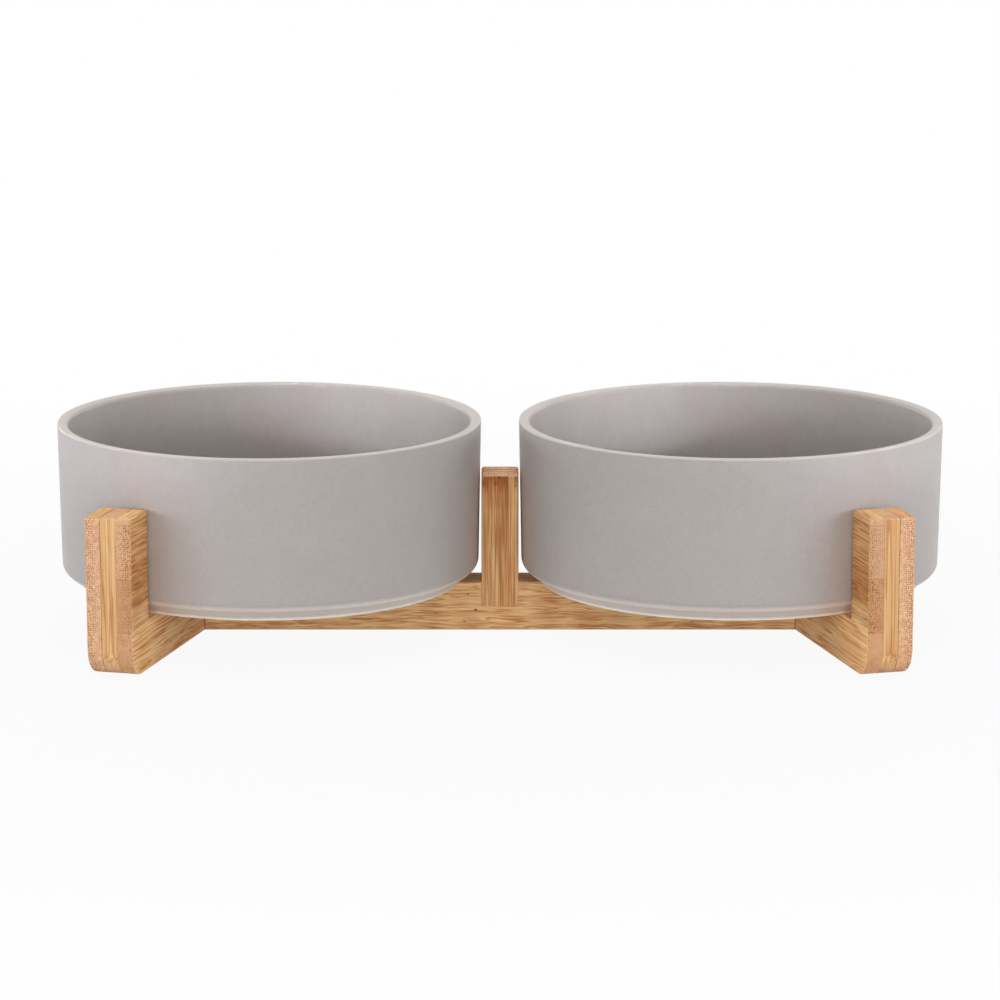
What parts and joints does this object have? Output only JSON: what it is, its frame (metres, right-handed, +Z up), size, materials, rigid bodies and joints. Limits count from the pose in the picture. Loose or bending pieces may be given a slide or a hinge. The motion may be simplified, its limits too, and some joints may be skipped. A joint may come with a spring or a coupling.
{
  "type": "double pet bowl",
  "caption": "Round lift-out stoneware feeding bowls side by side in a low laminated bamboo stand with a rail, a centre post and splayed L-shaped arms.",
  "frame": {"origin": "centre of the footprint on the floor, midway between the bowls and under the centre post", "axes": "+X along the rail from the left bowl to the right one, +Y from front to rear, +Z up"},
  "size_m": [0.3238, 0.1672, 0.0776],
  "materials": {
    "bowl_glaze": "matte speckled glaze",
    "bamboo_face": "satin, grain along the member",
    "bamboo_core": "satin, grain across the member",
    "dowel_wood": "plain"
  },
  "bodies": {
    "stand": {"rail_front_ply": "bamboo_face", "rail_core_ply": "bamboo_core", "rail_rear_ply": "bamboo_face", "post_front_ply": "bamboo_face", "post_core_ply": "bamboo_core", "post_rear_ply": "bamboo_face", "front_left_arm_outer_ply": "bamboo_face", "front_left_arm_core_ply": "bamboo_core", "front_left_arm_inner_ply": "bamboo_face", "front_right_arm_outer_ply": "bamboo_face", "front_right_arm_core_ply": "bamboo_core", "front_right_arm_inner_ply": "bamboo_face", "rear_left_arm_outer_ply": "bamboo_face", "rear_left_arm_core_ply": "bamboo_core", "rear_left_arm_inner_ply": "bamboo_face", "rear_right_arm_outer_ply": "bamboo_face", "rear_right_arm_core_ply": "bamboo_core", "rear_right_arm_inner_ply": "bamboo_face", "arm_dowels": "dowel_wood", "post_dowel": "dowel_wood"},
    "left_bowl": {"bowl_left": "bowl_glaze"},
    "right_bowl": {"bowl_right": "bowl_glaze"}
  },
  "joints": [
    {"name": "left_bowl_lift", "type": "slide", "parent": "stand", "child": "left_bowl", "axis": [0, 0, 1], "range_m": [0, 0.06]},
    {"name": "right_bowl_lift", "type": "slide", "parent": "stand", "child": "right_bowl", "axis": [0, 0, 1], "range_m": [0, 0.06]}
  ]
}
